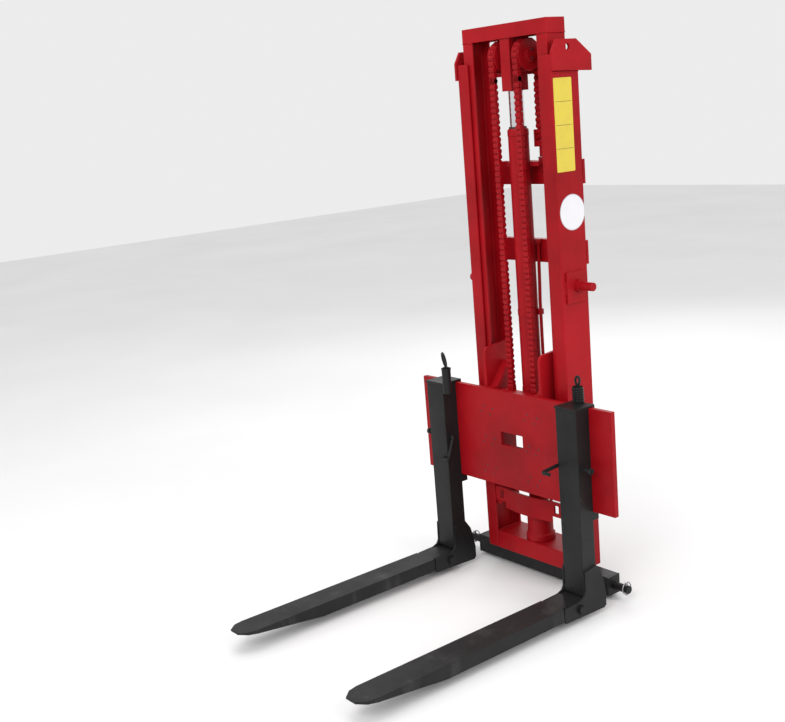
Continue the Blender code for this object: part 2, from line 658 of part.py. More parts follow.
def blade(label, x):
    """Blade with a tapered tip, and the tongue that turns on the heel bolt."""
    half = FORK_WIDE / 2 + HEEL_THICK + GAP
    tongue_half = FORK_WIDE / 2 - 0.0005
    side_view = [(BLADE_REAR, BLADE_BOTTOM), (-0.800, BLADE_BOTTOM), (BLADE_TIP, BLADE_TOP - 0.007),
                 (BLADE_TIP, BLADE_TOP), (BLADE_REAR, BLADE_TOP)]
    main = flat(f"fork_blade_{label}", [side_view], "X", x - half, x + half, DARK)
    join(main, box("tongue", (x - tongue_half, BLADE_REAR - 0.03, BLADE_BOTTOM),
                   (x + tongue_half, -0.135, BLADE_TOP)))
    corner, beyond = 0.040, 0.010
    for side in (-1, 1):
        outer = x + side * (half + beyond)
        outline = [(outer, BLADE_TIP + corner * 1.5), (x + side * half, BLADE_TIP + corner * 1.5),
                   (x + side * (half - 0.006), BLADE_TIP + corner * 0.7),
                   (x + side * (half - corner * 0.5), BLADE_TIP + 0.012),
                   (x + side * (half - corner * 0.95), BLADE_TIP - beyond), (outer, BLADE_TIP - beyond)]
        cut(main, flat("tip_corner", [outline], "Z", BLADE_BOTTOM - beyond, BLADE_TOP + beyond))
    return cut(main, hole("X", (x, FOLD_Y, FOLD_Z), BOLT_BORE, 0.07, 16))


def retainer(label, x, inner, swing):
    """Bent rod through the shank: straight across, an arm, and a foot in front of the shank.

    inner is the side of the fork that the arm is on, and swing its angle from hanging down.
    """
    half, across = FORK_WIDE / 2, inner * 0.034
    start = (x - inner * (half + 0.042), RETAINER_Y, RETAINER_Z)
    corner = (x + inner * (half + 0.011), RETAINER_Y, RETAINER_Z)
    elbow = (corner[0], RETAINER_Y - RETAINER_ARM * math.sin(swing),
             RETAINER_Z - RETAINER_ARM * math.cos(swing))
    end = (elbow[0] - across, elbow[1], elbow[2])
    rod = wire(f"blade_retainer_{label}", [start, corner, elbow, end], 0.0062, DARK)
    low, high = start[0] + inner * 0.003, start[0] + inner * 0.014
    return join(rod, cylinder("nut", (low, *start[1:]), (high, *start[1:]), 0.0115, sides=6))


# ---- assembly ----------------------------------------------------------------------
def build():
    outer_mast()
    lift_cylinder()
    hydraulic_pipe()
    fixed_chains()
    inner_mast()
    pivot("chain_pulley_axis", (0, PULLEY_Y, PULLEY_Z), pulleys())
    pivot("mast_roller_axis", (0, *MAST_ROLLER[:2]), mast_rollers())
    carriage()
    for height, z in zip(("lower", "upper"), ROLLER_Z):
        axis = (0, CARRIAGE_ROLLER[0], z)
        pivot(f"carriage_roller_{height}_axis", axis, carriage_rollers(height, z))
    carriage_chains()
    sides = {"left": (-FORK_X, 1, math.radians(20.3)), "right": (FORK_X, -1, math.radians(85))}
    for label, (x, inner, swing) in sides.items():
        fork(label, x)
        pivot(f"blade_axis_{label}", (x, FOLD_Y, FOLD_Z), [blade(label, x)])
        pivot(f"retainer_axis_{label}", (x, RETAINER_Y, RETAINER_Z), [retainer(label, x, inner, swing)])
    beside = FORK_X - FORK_WIDE / 2 - HOOK_LAP - LATCH_RADIUS - GAP
    latch("left", (-beside, -0.1810), (0.606, 0.700), (0.0065, 0.024), -0.014)
    latch("right", (0.315, -0.1150), (HOOK_TOP + GAP, 0.697), (0.0090, 0.014), 0.002)


clear_scene()
PARTS = collection("tractor_fork_mast")
CUTTERS = collection("cutters")
build()
bpy.context.view_layer.update()
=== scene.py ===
import json
import math

import bmesh
import bpy
import numpy as np
from mathutils import Matrix, Vector


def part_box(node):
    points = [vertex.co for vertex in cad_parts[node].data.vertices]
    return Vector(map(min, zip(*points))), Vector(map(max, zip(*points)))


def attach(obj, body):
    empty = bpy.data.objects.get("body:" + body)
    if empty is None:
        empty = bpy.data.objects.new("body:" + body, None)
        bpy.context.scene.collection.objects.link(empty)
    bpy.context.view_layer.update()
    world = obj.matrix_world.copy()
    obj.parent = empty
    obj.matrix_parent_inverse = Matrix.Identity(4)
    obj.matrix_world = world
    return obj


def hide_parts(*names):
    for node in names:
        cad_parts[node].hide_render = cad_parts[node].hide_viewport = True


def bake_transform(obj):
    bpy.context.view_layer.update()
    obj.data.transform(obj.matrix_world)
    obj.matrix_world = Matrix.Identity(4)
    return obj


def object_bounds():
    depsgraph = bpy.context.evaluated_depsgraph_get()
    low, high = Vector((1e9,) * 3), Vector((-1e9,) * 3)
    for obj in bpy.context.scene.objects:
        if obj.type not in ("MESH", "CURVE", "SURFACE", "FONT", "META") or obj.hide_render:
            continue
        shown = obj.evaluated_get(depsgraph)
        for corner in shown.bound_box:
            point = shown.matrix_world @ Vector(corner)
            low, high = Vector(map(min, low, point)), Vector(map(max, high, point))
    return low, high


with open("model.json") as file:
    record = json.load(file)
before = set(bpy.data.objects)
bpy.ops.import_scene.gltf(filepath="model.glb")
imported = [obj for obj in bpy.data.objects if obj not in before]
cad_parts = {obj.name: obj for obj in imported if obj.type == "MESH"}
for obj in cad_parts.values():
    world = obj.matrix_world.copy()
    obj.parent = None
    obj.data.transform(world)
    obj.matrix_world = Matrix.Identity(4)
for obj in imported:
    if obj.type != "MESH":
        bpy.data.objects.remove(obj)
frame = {"nodes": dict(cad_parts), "record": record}
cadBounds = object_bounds()
bodyOf = {node: body for body, nodes in frame["record"]["behaviour"]["bodies"].items() for node in nodes}
slotOf = {row["node"]: row["material_slot"] for row in frame["record"]["subparts"]}


# mesh making

# rings is (solids, rings, points, 3): neighbouring rings are joined by quads, each ring is
# closed, and an end ring that is drawn together at one point closes that end
def loftMesh(name, rings, material, smoothAngle=40.0):
    rings = np.asarray(rings, dtype=np.float64)
    if rings.ndim == 3:
        rings = rings[None]
    solids, count, around, _ = rings.shape
    index = np.arange(solids * count * around).reshape(solids, count, around)
    nextAround = np.roll(index, -1, axis=2)
    quads = np.stack([index[:, :-1], nextAround[:, :-1], nextAround[:, 1:], index[:, 1:]], axis=-1)
    mesh = bpy.data.meshes.new(name)
    mesh.from_pydata(rings.reshape(-1, 3), [], quads.reshape(-1, 4).tolist())
    return finishMesh(name, mesh, material, smoothAngle)


# merges doubled points, turns every face outwards, and keeps edges sharper than the angle sharp
def finishMesh(name, mesh, material, smoothAngle):
    bm = bmesh.new()
    bm.from_mesh(mesh)
    bmesh.ops.remove_doubles(bm, verts=bm.verts, dist=1e-6)
    bmesh.ops.dissolve_degenerate(bm, edges=bm.edges, dist=1e-7)
    bmesh.ops.recalc_face_normals(bm, faces=bm.faces)
    bm.to_mesh(mesh)
    bm.free()
    mesh.materials.append(material)
    mesh.shade_smooth()
    mesh.set_sharp_from_angle(angle=math.radians(smoothAngle))
    piece = bpy.data.objects.new(name, mesh)
    bpy.context.scene.collection.objects.link(piece)
    return piece


# outline (n, 2) carried along local z through the heights; each height has its own scale of
# the outline about its centre, and both ends are drawn together to a point
def prismRings(outline, heights, scales):
    outline = np.asarray(outline, dtype=np.float64)
    middle = outline.mean(axis=0)
    heights = np.concatenate([heights[:1], heights, heights[-1:]])
    scales = np.concatenate([[0.0], scales, [0.0]])
    flat = middle + (outline - middle)[None] * np.asarray(scales)[:, None, None]
    tall = np.broadcast_to(np.asarray(heights)[:, None, None], (len(heights), len(outline), 1))
    return np.concatenate([flat, tall], axis=2)


# turns local rings so that local z points along axis, and puts them at each of the places
def placeRings(rings, places, axis):
    places = np.atleast_2d(np.asarray(places, dtype=np.float64))
    turn = np.array(Vector((0, 0, 1)).rotation_difference(Vector(axis)).to_matrix())
    return (rings @ turn.T)[None] + places[:, None, None, :]


# points at equal angles round a circle, the first at the phase
def circleOutline(radius, count, phase=0.0):
    angle = np.arange(count) * 2 * np.pi / count + phase
    return np.stack([np.cos(angle), np.sin(angle)], axis=1) * radius


# two half circles joined by straight sides, the centres half a pitch either side of the middle
def stadiumOutline(pitch, radius, count):
    angle = np.linspace(-np.pi / 2, np.pi / 2, count)
    cap = np.stack([np.cos(angle), np.sin(angle)], axis=1) * radius
    return np.concatenate([cap + [pitch / 2, 0], -cap - [pitch / 2, 0]])


# a ring of the given radius carried along the path; each ring stands square to the path, and
# its two directions come from cross products with one fixed direction
def sweepRings(path, radius, around, up=(0.0, 0.0, 1.0), flatten=1.0):
    path = np.asarray(path, dtype=np.float64)
    radius = np.broadcast_to(np.asarray(radius, dtype=np.float64), (len(path),))
    along = np.gradient(path, axis=0)
    along /= np.linalg.norm(along, axis=1, keepdims=True)
    side = np.cross(along, np.asarray(up, dtype=np.float64))
    side /= np.linalg.norm(side, axis=1, keepdims=True)
    over = np.cross(side, along)
    angle = np.arange(around) * 2 * np.pi / around
    ring = (side[:, None] * np.cos(angle)[None, :, None]
            + over[:, None] * (np.sin(angle) * flatten)[None, :, None])
    rings = path[:, None] + ring * radius[:, None, None]
    return np.concatenate([np.repeat(path[:1, None], around, axis=1), rings,
                           np.repeat(path[-1:, None], around, axis=1)])


# corner points joined by straight runs, with each corner rounded by a quadratic curve
def bentPath(corners, reach, steps=7):
    corners = np.asarray(corners, dtype=np.float64)
    points = [corners[:1]]
    for before, here, after in zip(corners[:-2], corners[1:-1], corners[2:]):
        start = here + (before - here) * min(0.45, reach / np.linalg.norm(before - here))
        end = here + (after - here) * min(0.45, reach / np.linalg.norm(after - here))
        t = np.linspace(0, 1, steps)[:, None]
        points.append((1 - t) ** 2 * start + 2 * t * (1 - t) * here + t ** 2 * end)
    points.append(corners[-1:])
    return np.concatenate(points)


# the two opposite corners of a node's box
def cornersOf(node):
    return [np.array(corner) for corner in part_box(node)]


# the piece moves with the body
def addRider(piece, body):
    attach(piece, body)
    return piece


# materials


# an empty material with its node tree and its Principled shader
def newMaterial(name):
    material = bpy.data.materials.new(name)
    material.use_nodes = True
    tree = material.node_tree
    return material, tree, tree.nodes["Principled BSDF"]


# a node with its settings and the values of its inputs; an underscore stands for a space
def addNode(tree, kind, settings=None, **inputs):
    made = tree.nodes.new(kind)
    for key, value in (settings or {}).items():
        setattr(made, key, value)
    for key, value in inputs.items():
        made.inputs[key.replace("_", " ")].default_value = value
    return made


# noise on Object coordinates, stretched along each axis by its scale
def noiseOn(tree, scale, detail=4.0, roughness=0.55, stretch=(1.0, 1.0, 1.0)):
    place = addNode(tree, "ShaderNodeTexCoord")
    mapping = addNode(tree, "ShaderNodeMapping")
    mapping.inputs["Scale"].default_value = stretch
    noise = addNode(tree, "ShaderNodeTexNoise", Scale=scale, Detail=detail, Roughness=roughness)
    tree.links.new(place.outputs["Object"], mapping.inputs["Vector"])
    tree.links.new(mapping.outputs["Vector"], noise.inputs["Vector"])
    return noise.outputs["Fac"]


# maps a value to colours, each stop being a position and a colour
def rampOn(tree, source, stops):
    ramp = addNode(tree, "ShaderNodeValToRGB")
    ramp.color_ramp.elements[0].position, ramp.color_ramp.elements[0].color = stops[0]
    ramp.color_ramp.elements[1].position, ramp.color_ramp.elements[1].color = stops[-1]
    for position, colour in stops[1:-1]:
        ramp.color_ramp.elements.new(position).color = colour
    tree.links.new(source, ramp.inputs["Fac"])
    return ramp.outputs["Color"]


def grey(value):
    return (value, value, value, 1.0)


# blends two colours or sockets by a factor
def mixColour(tree, factor, first, second, kind="MIX"):
    mix = addNode(tree, "ShaderNodeMix", {"data_type": "RGBA", "blend_type": kind})
    for socket, value in ((0, factor), (6, first), (7, second)):
        if hasattr(value, "is_linked"):
            tree.links.new(value, mix.inputs[socket])
        else:
            mix.inputs[socket].default_value = value
    return mix.outputs[2]


# stacks bumps one on the other: each has a source, a strength and a depth in metres
def bumpOn(tree, shader, heights):
    normal = None
    for source, strength, distance in heights:
        bump = addNode(tree, "ShaderNodeBump", Strength=strength, Distance=distance)
        tree.links.new(source, bump.inputs["Height"])
        if normal:
            tree.links.new(normal, bump.inputs["Normal"])
        normal = bump.outputs["Normal"]
    tree.links.new(normal, shader.inputs["Normal"])


# sprayed paint on steel: broad tone changes, fine dust specks, small chips down to a darker
# coat, orange-peel skin and faint brush-like runs along the height
def sprayedPaint(name, look):
    material, tree, shader = newMaterial(name)
    broad = noiseOn(tree, look["patchScale"], 5.0, 0.6)
    tone = rampOn(tree, broad, [(0.30, look["deep"]), (0.52, look["main"]), (0.75, look["light"])])
    grime = rampOn(tree, noiseOn(tree, 11.0, 8.0, 0.68, (1, 1, 0.35)), [(0.54, grey(0)), (0.74, grey(1))])
    dusty = mixColour(tree, grime, tone, look["dust"])
    dusty = mixColour(tree, look["dustAmount"], tone, dusty)
    chips = rampOn(tree, noiseOn(tree, look["chipScale"], 9.0, 0.62), [(0.70, grey(0)), (0.725, grey(1))])
    tree.links.new(mixColour(tree, chips, dusty, look["chip"]), shader.inputs["Base Color"])
    smooth, dull = (grey(value) for value in look["gloss"])
    rough = rampOn(tree, noiseOn(tree, 7.0, 6.0, 0.6), [(0.3, smooth), (0.7, dull)])
    tree.links.new(rough, shader.inputs["Roughness"])
    shader.inputs["Coat Weight"].default_value = look["coat"]
    shader.inputs["Coat Roughness"].default_value = 0.22
    shader.inputs["Specular IOR Level"].default_value = look["shine"]
    peel = noiseOn(tree, 420.0, 2.0, 0.5)
    wave = noiseOn(tree, 26.0, 3.0, 0.5)
    bumpOn(tree, shader, [(peel, 0.12, 0.0006), (wave, 0.16, 0.0015), (chips, 0.25, -0.0006)])
    return material


# unpainted steel: streaks along the stretched axis in tone, roughness and bump
def bareMetal(name, look):
    material, tree, shader = newMaterial(name)
    shader.inputs["Metallic"].default_value = 1.0
    tone = rampOn(tree, noiseOn(tree, look["scale"], 6.0, 0.6, look["stretch"]),
                  [(0.3, look["deep"]), (0.7, look["main"])])
    tree.links.new(tone, shader.inputs["Base Color"])
    rough = rampOn(tree, noiseOn(tree, look["scale"] * 3, 4.0, 0.5, look["stretch"]),
                   [(0.3, grey(look["gloss"][0])), (0.7, grey(look["gloss"][1]))])
    tree.links.new(rough, shader.inputs["Roughness"])
    scratches = noiseOn(tree, look["scale"] * 5, 3.0, 0.5, look["stretch"])
    bumpOn(tree, shader, [(scratches, look["bump"], 0.0004)])
    return material


# smooth plastic film with slight wear in tone and roughness
def stickerFilm(name, look):
    material, tree, shader = newMaterial(name)
    tone = rampOn(tree, noiseOn(tree, 18.0, 5.0, 0.6), [(0.35, look["worn"]), (0.6, look["main"])])
    tree.links.new(tone, shader.inputs["Base Color"])
    rough = rampOn(tree, noiseOn(tree, 60.0, 3.0, 0.5), [(0.3, grey(0.32)), (0.7, grey(0.48))])
    tree.links.new(rough, shader.inputs["Roughness"])
    bumpOn(tree, shader, [(noiseOn(tree, 90.0, 2.0, 0.5), 0.08, 0.0004)])
    return material


redLook = {
    "deep": (0.22, 0.0020, 0.0045, 1), "main": (0.315, 0.0032, 0.0075, 1),
    "light": (0.39, 0.0055, 0.0105, 1),
    "dust": (0.29, 0.013, 0.017, 1), "dustAmount": 0.22, "chip": (0.10, 0.004, 0.006, 1),
    "patchScale": 3.2, "chipScale": 34.0, "gloss": (0.38, 0.56), "coat": 0.03, "shine": 0.13,
}
darkLook = {
    "deep": (0.0085, 0.0085, 0.0090, 1), "main": (0.0125, 0.0125, 0.0130, 1),
    "light": (0.019, 0.019, 0.0192, 1),
    "dust": (0.034, 0.033, 0.032, 1), "dustAmount": 0.24, "chip": (0.050, 0.048, 0.045, 1),
    "patchScale": 5.0, "chipScale": 46.0, "gloss": (0.36, 0.54), "coat": 0.03, "shine": 0.18,
}
bladeLook = {**darkLook, "dust": (0.085, 0.083, 0.080, 1), "dustAmount": 0.42, "chipScale": 27.0,
             "chip": (0.11, 0.105, 0.10, 1)}
blackLook = {
    "deep": (0.0035, 0.0035, 0.0042, 1), "main": (0.0055, 0.0055, 0.0065, 1),
    "light": (0.010, 0.010, 0.011, 1),
    "dust": (0.036, 0.032, 0.028, 1), "dustAmount": 0.34, "chip": (0.060, 0.045, 0.035, 1),
    "patchScale": 6.0, "chipScale": 40.0, "gloss": (0.42, 0.62), "coat": 0.03, "shine": 0.30,
}
print("materials")
paintRed = sprayedPaint("red spray paint", redLook)
paintDark = sprayedPaint("charcoal spray paint", darkLook)
paintBlade = sprayedPaint("scuffed blade paint", bladeLook)
paintBlack = sprayedPaint("black spray paint", blackLook)
chainRed = sprayedPaint("painted chain", {**redLook, "deep": (0.17, 0.0016, 0.0040, 1), "chipScale": 90.0,
                                          "dustAmount": 0.30, "gloss": (0.34, 0.52)})
chromeSkin = bareMetal("chrome plating", {
    "scale": 14.0, "stretch": (1, 1, 0.2), "gloss": (0.07, 0.15), "bump": 0.03,
    "deep": (0.62, 0.63, 0.65, 1), "main": (0.78, 0.79, 0.81, 1)})
turnedSteel = bareMetal("machined steel", {
    "scale": 40.0, "stretch": (1, 0.3, 0.3), "gloss": (0.28, 0.45), "bump": 0.15,
    "deep": (0.26, 0.26, 0.27, 1), "main": (0.42, 0.42, 0.43, 1)})
yellowFilm = stickerFilm("yellow film", {"main": (0.62, 0.49, 0.045, 1), "worn": (0.58, 0.45, 0.045, 1)})
whiteFilm = stickerFilm("white film", {"main": (0.70, 0.69, 0.72, 1), "worn": (0.67, 0.66, 0.69, 1)})
darkFilm = stickerFilm("black film", {"main": (0.02, 0.02, 0.02, 1), "worn": (0.05, 0.05, 0.05, 1)})
rimFilm = stickerFilm("grey rim film", {"main": (0.50, 0.50, 0.52, 1), "worn": (0.42, 0.42, 0.43, 1)})
rubberBlack = stickerFilm("wiper rubber", {"main": grey(0.014), "worn": grey(0.022)})
# dark red that paints the shade inside the plate's holes; the keeper bolt heads use it too
paintedHoleShade = stickerFilm("painted hole shade", {"main": (0.035, 0.006, 0.008, 1), "worn": (0.06, 0.008, 0.01, 1)})
slotMaterials = {"paint_red": paintRed, "paint_dark": paintDark, "paint_black": paintBlack,
                 "chrome_rod": chromeSkin, "plain_steel": turnedSteel}


# skins: the CAD pieces with their edges rounded

skinValues = {
    "segments": 3,
    "width": 0.0016,                 # rounding where nothing else is said
    "widths": {"outer_upright": 0.0040, "inner_upright": 0.0035, "fork_shank": 0.0045, "fork_blade": 0.0032,
               "base_section": 0.0035, "cross_beam": 0.0022, "hitch_bar": 0.0030, "carriage_plate": 0.0020,
               "cylinder": 0.0012, "carriage_roller": 0.0015, "mast_roller": 0.0020, "latch_tube": 0.0010},
    "asIs": ("chain_front", "chain_rear", "blade_retainer", "latch_pin", "hydraulic_pipe"),
}


# a merged copy of a CAD node with a bevel on its edges, which stands for the node
def roundedSkin(node):
    source = frame["nodes"][node]
    mesh = source.data.copy()
    mesh.name = node + "_skin"
    bm = bmesh.new()
    bm.from_mesh(mesh)
    bmesh.ops.remove_doubles(bm, verts=bm.verts, dist=1e-5)
    bmesh.ops.dissolve_limit(bm, angle_limit=math.radians(1.0), verts=bm.verts, edges=bm.edges)
    bm.to_mesh(mesh)
    bm.free()
    mesh.materials.clear()
    mesh.materials.append(paintBlade if node.startswith("fork_blade") else slotMaterials[slotOf[node]])
    mesh.shade_smooth()
    mesh.set_sharp_from_angle(angle=math.radians(30))
    piece = bpy.data.objects.new(node + "_skin", mesh)
    bpy.context.scene.collection.objects.link(piece)
    width = next((value for start, value in skinValues["widths"].items() if node.startswith(start)),
                 skinValues["width"])
    bevel = piece.modifiers.new("edges", "BEVEL")
    bevel.width = width
    bevel.segments = skinValues["segments"]
    bevel.limit_method = "ANGLE"
    bevel.angle_limit = math.radians(32)
    bevel.harden_normals = True
    bevel.use_clamp_overlap = True
    addRider(piece, bodyOf[node])
    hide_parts(node)
    return piece


# every CAD node, shown or not, gets the finish of its slot; those that need no rounding or that
# a later piece stands for get no skin
for node in sorted(frame["nodes"]):
    finish = paintBlade if node.startswith("fork_blade") else slotMaterials[slotOf[node]]
    for place in frame["nodes"][node].material_slots:
        place.material = finish
    if not node.startswith(skinValues["asIs"]):
        roundedSkin(node)
print("skins")


# lift chains

chainValues = {
    "pitch": 0.01905,
    "plates": 7,                     # plates side by side across the chain
    "platePitch": 0.0033, "plateThick": 0.0030, "plateRadius": 0.0090, "waist": 0.0052,
    "pinRadius": 0.0031, "pinLong": 0.0118,
    "straightLinks": 4,              # links that stay straight on each side of a pulley
}


# the outline of one chain plate: round at both pins, its sides drawn in to the waist between
# them by the square of a cosine
def waistedOutline(pitch, radius, waist, count):
    along = np.linspace(-pitch / 2, pitch / 2, count)
    side = np.stack([along, radius - (radius - waist) * np.cos(np.pi * along / pitch) ** 2], axis=1)
    angle = np.linspace(np.pi / 2, -np.pi / 2, count)[1:-1]
    cap = np.stack([pitch / 2 + radius * np.cos(angle), radius * np.sin(angle)], axis=1)
    return np.concatenate([side, cap, -side, -cap])


# a leaf chain through the given joints: a pin through every joint, and plates side by side
# that take the even and the odd links in turn; heading is the direction from joint to joint
def chainRings(joints):
    v = chainValues
    x = (1.0, 0.0, 0.0)
    flat = np.array([1.0, 1.0])
    outline = waistedOutline(v["pitch"], v["plateRadius"], v["waist"], 7)
    pinOutline = circleOutline(v["pinRadius"], len(outline))
    pin = prismRings(pinOutline, np.array([-v["pinLong"], v["pinLong"]]), flat)
    solids = [placeRings(pin, joints, x)]
    middle = (joints[1:] + joints[:-1]) / 2
    heading = np.diff(joints, axis=0)
    heading /= np.linalg.norm(heading, axis=1, keepdims=True)
    for column in range(v["plates"]):
        low = (column - (v["plates"] - 1) / 2) * v["platePitch"] - v["plateThick"] / 2
        plate = prismRings(outline, np.array([low, low + v["plateThick"]]), flat)
        along = heading[column % 2::2]
        across = np.cross(along, x)
        made = (plate[None, ..., 0:1] * along[:, None, None] + plate[None, ..., 1:2] * across[:, None, None]
                + plate[None, ..., 2:3] * np.array(x)) + middle[column % 2::2][:, None, None]
        solids.append(made)
    return np.concatenate(solids)


# joints of a straight run from low to high, at the pitch that divides it evenly
def upright(x, y, low, high):
    count = max(2, int(round((high - low) / chainValues["pitch"])) + 1)
    z = np.linspace(low, high, count)
    return np.stack([np.full(count, x), np.full(count, y), z], axis=1)


# each chain is two straight runs that stretch between their bodies, and between them the bend
# over the pulley: a half circle of the pitch radius with a few straight links below each end
def buildChains():
    for label in ("left", "right"):
        frontLow, frontHigh = cornersOf("chain_front_" + label)
        rearLow, rearHigh = cornersOf("chain_rear_" + label)
        x, frontY = (frontLow + frontHigh)[:2] / 2
        rearY = (rearLow[1] + rearHigh[1]) / 2
        top = frontHigh[2]
        radius = (rearY - frontY) / 2
        pitch, links = chainValues["pitch"], chainValues["straightLinks"]
        join = top - links * pitch
        for name, y, foot, body in (("front", frontY, frontLow[2], "carriage"),
                                    ("rear", rearY, rearLow[2], "outer_mast")):
            run = loftMesh(f"{name}_chain_{label}", chainRings(upright(x, y, foot + 0.009, join)), chainRed)
            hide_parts(f"chain_{name}_{label}")
            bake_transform(run)
        steps = int(round(math.pi * radius / pitch))
        angle = np.linspace(0, math.pi, steps + 1)
        over = np.stack([np.full(steps + 1, x), (frontY + rearY) / 2 - radius * np.cos(angle),
                         top + radius * np.sin(angle)], axis=1)
        down = np.arange(links, 0, -1)[:, None] * np.array([0, 0, pitch])
        over = np.concatenate([over[:1] - down, over, over[-1:] - down[::-1]])
        bend = loftMesh("chain_over_pulley_" + label, chainRings(over), chainRed)
        addRider(bend, "inner_mast")
        lug = prismRings(stadiumOutline(0.020, 0.0085, 7), np.array([-0.0125, 0.0125]), np.array([1.0, 1.0]))
        lug = lug[..., [2, 1, 0]]
        lug = lug + np.array([x, frontY, frontLow[2] + 0.006])
        addRider(loftMesh("chain_end_lug_" + label, lug, paintRed), "carriage")


buildChains()
print("chains")


# retainer rods

rodValues = {"radius": 0.0062, "pivotY": -0.163, "pivotZ": 0.437, "arm": 0.088, "forkHalf": 0.044,
             "proud": 0.042, "across": 0.034, "swings": {"left": (1, 20.3), "right": (-1, 85.0)}}


# the retainer runs straight through the fork, turns into an arm that stands at its swing from
# hanging down, and ends in a foot that runs back across in front of the fork
def buildRetainers():
    v = rodValues
    half, y, z = v["forkHalf"], v["pivotY"], v["pivotZ"]
    for label, (inner, swing) in v["swings"].items():
        low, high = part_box("fork_blade_" + label)
        middle = (low[0] + high[0]) / 2
        start = (middle - inner * (half + v["proud"]), y, z)
        corner = (middle + inner * (half + 0.011), y, z)
        turn = math.radians(swing)
        elbow = (corner[0], y - v["arm"] * math.sin(turn), z - v["arm"] * math.cos(turn))
        end = (elbow[0] - inner * v["across"], elbow[1], elbow[2])
        path = bentPath([start, corner, elbow, end], 0.012)
        rings = sweepRings(path, v["radius"], 14, up=(0.13, 0.41, 0.90))
        rod = loftMesh("retainer_rod_" + label, rings, paintDark)
        addRider(rod, "retainer_" + label)
        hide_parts("blade_retainer_" + label)
        nut = chamferedPrism(circleOutline(0.0115, 6), 0.011, 0.0012)
        place = (start[0] + inner * 0.0085, y, z)
        addRider(loftMesh("retainer_nut_" + label, placeRings(nut, place, (1, 0, 0)), paintDark, 25),
                 "retainer_" + label)
        washer = chamferedPrism(circleOutline(0.0125, 24), 0.0022, 0.0004)
        places = [(middle + side * (half + 0.0036), y, z) for side in (-1, 1)]
        addRider(loftMesh("retainer_washers_" + label, placeRings(washer, places, (1, 0, 0)), paintDark),
                 "retainer_" + label)


# an outline given a thickness, with both rims cut back by the chamfer
def chamferedPrism(outline, thick, chamfer):
    radius = np.abs(outline).max()
    inset = 1 - chamfer / radius
    half = thick / 2
    heights = np.array([-half, -half + chamfer, half - chamfer, half])
    return prismRings(outline, heights, np.array([inset, 1.0, 1.0, inset]))


buildRetainers()
print("retainers")


# latch springs and rims

latchValues = {"springWire": 0.0026, "springTurns": 6,
               "rimInner": 0.62,             # as a share of the tube's radius
               "rimProud": 0.0012, "rimTall": 0.006}


# a coil of round wire round the right fork's latch tube, and a rim at the top of both tubes
def buildLatches():
    v = latchValues
    low, high = cornersOf("latch_tube_right")
    middle, radius = (low + high) / 2, (high[0] - low[0]) / 2
    turns = np.linspace(0, 2 * np.pi * v["springTurns"], 24 * v["springTurns"] + 1)
    bottom, top = low[2] + v["springWire"], high[2] - v["springWire"]
    reach = radius + v["springWire"] * 0.45
    coil = np.stack([middle[0] + reach * np.cos(turns), middle[1] + reach * np.sin(turns),
                     bottom + (top - bottom) * turns / turns[-1]], axis=1)
    addRider(loftMesh("latch_spring_right", sweepRings(coil, v["springWire"], 8), paintDark),
             "fork_right")
    for label in ("left", "right"):
        low, high = cornersOf("latch_tube_" + label)
        middle = (low + high) / 2
        rim = ringSolid(radius * v["rimInner"], radius + v["rimProud"], v["rimTall"], 32)
        rim = placeRings(rim, (middle[0], middle[1], high[2] - v["rimTall"] / 2), (0, 0, 1))
        addRider(loftMesh("latch_rim_" + label, rim, paintDark, 30), "fork_" + label)


# a flat ring: outer and inner circles at both heights, joined back to the first one
def ringSolid(inner, outer, thick, around):
    half = thick / 2
    angle = np.arange(around) * 2 * np.pi / around
    spoke = np.stack([np.cos(angle), np.sin(angle), np.zeros(around)], axis=1)
    stops = [(outer, -half), (outer, half), (inner, half), (inner, -half), (outer, -half)]
    return np.stack([spoke * radius + [0, 0, height] for radius, height in stops])


buildLatches()
print("latches")


# weld beads

weldValues = {
    "radius": 0.0028, "ripple": 0.22, "pitch": 0.0045, "step": 0.0011,
    "forkRadius": 0.0024, "forkHalf": 0.044, "forkFront": -0.1865, "seatFront": -0.131,
    "padCorner": 0.030,              # the pad's front bead stops this far from its ends
    "heelTop": 0.0895, "heelRise": 0.0095,
    "heelLow": 0.020, "heelHigh": 0.085, "heelRear": -0.125,
    "capUnder": 0.6338, "capRear": -0.128,
}


# a bead along the points: its radius swells with each ripple, by a sine of the length run
def beadRings(points, radius):
    v = weldValues
    points = np.asarray(points, dtype=np.float64)
    runs = np.concatenate([[0.0], np.cumsum(np.linalg.norm(np.diff(points, axis=0), axis=1))])
    count = max(8, int(runs[-1] / v["step"]))
    along = np.linspace(0, runs[-1], count)
    path = np.stack([np.interp(along, runs, points[:, axis]) for axis in range(3)], axis=1)
    swell = 1 + v["ripple"] * np.sin(2 * np.pi * along / v["pitch"])
    ends = np.clip(np.minimum(along, runs[-1] - along) / 0.004, 0.35, 1)
    return sweepRings(path, radius * swell * ends, 8, up=(0.31, 0.53, 0.79))


# one bead for each line of points
def addWeld(name, body, material, lines, radius=None):
    radius = radius or weldValues["radius"]
    for index, points in enumerate(lines):
        bead = loftMesh(f"{name}_{index}", beadRings(points, radius), material, 60)
        addRider(bead, body)


def mirrored(line):
    return [(-x, y, z) for x, y, z in line]


def bothSides(lines):
    return lines + [mirrored(line) for line in lines]


